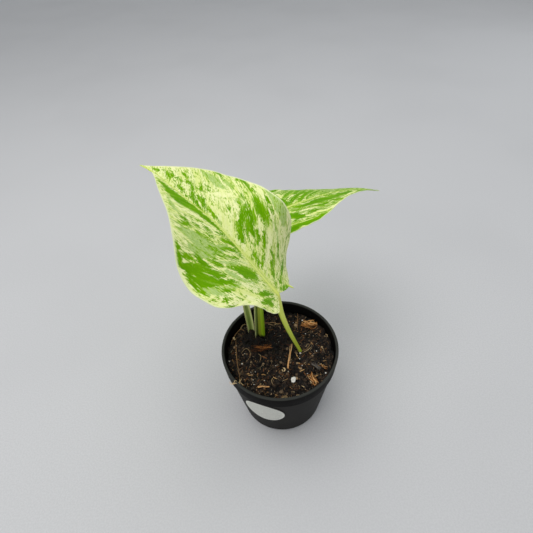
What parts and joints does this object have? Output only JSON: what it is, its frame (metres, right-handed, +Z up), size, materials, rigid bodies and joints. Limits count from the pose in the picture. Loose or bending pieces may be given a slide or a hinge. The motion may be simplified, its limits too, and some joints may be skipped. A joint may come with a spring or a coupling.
{
  "type": "potted marble queen pothos",
  "caption": "Young marble queen pothos with heart-shaped cream and green marbled leaves on slim stalks, in a small round black nursery pot filled with dark potting mix.",
  "frame": {"origin": "centre of the pot's flat base, on the surface it stands on", "axes": "+Z up; -Y is the side the picture was taken from, +X is to its right; the rear leaf points along +X, the front leaf towards -X and +Y"},
  "size_m": [0.1513, 0.1472, 0.1717],
  "materials": {
    "pot": "thin moulded black plastic, satin, faintly scuffed",
    "label": "plain matt round sticker, bare",
    "soil": "dark damp peaty crumbs with fine fibres",
    "leaf": "smooth waxy blade marbled in cream, grey-green and vivid green",
    "stalk": "smooth fleshy yellow-green stalk, satin",
    "sheath": "thin pale green sheath, matt",
    "bark": "rough reddish and grey bark",
    "wood_chips": "raw splintery wood",
    "straw": "dry smooth straw",
    "perlite": "white porous expanded grain"
  },
  "bodies": {
    "root": {"pot": "pot", "pot_label": "label", "soil": "soil", "front_leaf": "leaf", "rear_leaf": "leaf", "front_petiole": "stalk", "rear_petiole": "stalk", "petiole_sheath": "sheath", "shoot_sheath": "sheath", "bark_strip": "bark", "wood_chip_rear": "wood_chips", "fibrous_chip": "wood_chips", "wood_flake": "wood_chips", "dry_chip": "wood_chips", "grey_flake": "bark", "straw_stick": "straw", "front_straw": "straw", "perlite_grain": "perlite"}
  },
  "joints": []
}
